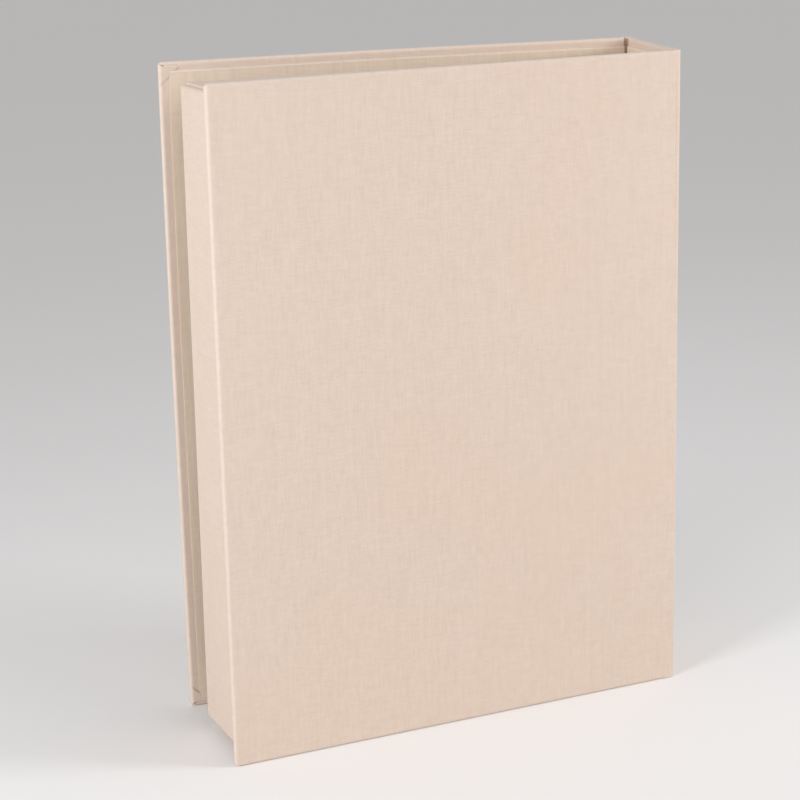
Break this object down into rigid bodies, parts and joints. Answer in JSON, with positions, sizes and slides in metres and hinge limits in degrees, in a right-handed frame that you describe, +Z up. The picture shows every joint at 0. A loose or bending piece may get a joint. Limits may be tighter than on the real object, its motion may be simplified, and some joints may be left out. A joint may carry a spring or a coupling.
{
  "type": "clamshell book box",
  "caption": "Cloth-covered clamshell book box: a walled tray inside a hinged case of base, spine and lid panels joined by cloth, standing on its tail edge with the lid slightly open.",
  "frame": {"origin": "middle of the base panel's tail edge, on the surface that the box stands on", "axes": "+X from the fore-edge to the spine, +Y from the base panel to the lid, +Z up from the tail to the head"},
  "size_m": [0.2448, 0.0826, 0.32],
  "materials": {
    "linen_book_cloth": "matt plain-weave natural linen book cloth",
    "lining_cloth": "matt lining cloth",
    "greyboard": "plain grey binder's board"
  },
  "bodies": {
    "base": {"base_board": "greyboard", "base_cover_cloth": "linen_book_cloth", "base_joint_lining": "lining_cloth", "tray_floor_board": "greyboard", "fore_edge_wall_board": "greyboard", "spine_side_wall_board": "greyboard", "tail_wall_board": "greyboard", "head_wall_board": "greyboard", "tray_cover_cloth": "linen_book_cloth", "tray_floor_lining": "lining_cloth"},
    "spine": {"spine_board": "greyboard", "spine_cover_cloth": "linen_book_cloth", "spine_lining": "lining_cloth", "front_joint_cloth": "linen_book_cloth", "back_joint_cloth": "linen_book_cloth"},
    "lid": {"lid_board": "greyboard", "lid_cover_cloth": "linen_book_cloth", "lid_lining": "lining_cloth"}
  },
  "joints": [
    {"name": "spine_joint", "type": "hinge", "parent": "base", "child": "spine", "pos_m": [0.1214, -0.0009, 0.16], "axis": [0, 0, -1], "range_deg": [-4.1, 85.9]},
    {"name": "lid_joint", "type": "hinge", "parent": "spine", "child": "lid", "pos_m": [0.12533, 0.05396, 0.16], "axis": [0, 0, -1], "range_deg": [-2.1, 87.9]}
  ]
}
